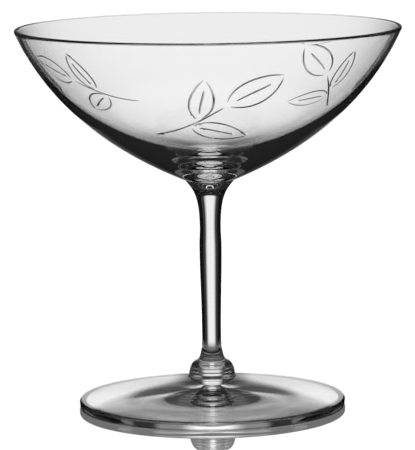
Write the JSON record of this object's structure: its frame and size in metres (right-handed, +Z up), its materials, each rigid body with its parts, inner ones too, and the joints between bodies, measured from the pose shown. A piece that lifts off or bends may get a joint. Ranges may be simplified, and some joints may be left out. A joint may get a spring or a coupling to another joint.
{
  "type": "sherbet glass",
  "caption": "Clear crystal stemmed sherbet glass: wide coupe bowl with a rounded lip, slim drawn stem, ringed knop and low conical foot, for serving ices, desserts or drinks.",
  "frame": {"origin": "middle of the foot, in the plane of the standing ring that the glass rests on", "axes": "+Z up along the glass's axis of turning, from the foot to the rim; X and Y are free, because the glass is round"},
  "size_m": [0.112, 0.112, 0.111],
  "materials": {
    "crystal": "polished clear colourless crystal, fire-polished lip"
  },
  "bodies": {
    "root": {"bowl": "crystal", "stem": "crystal", "knop": "crystal", "foot": "crystal"}
  },
  "joints": []
}
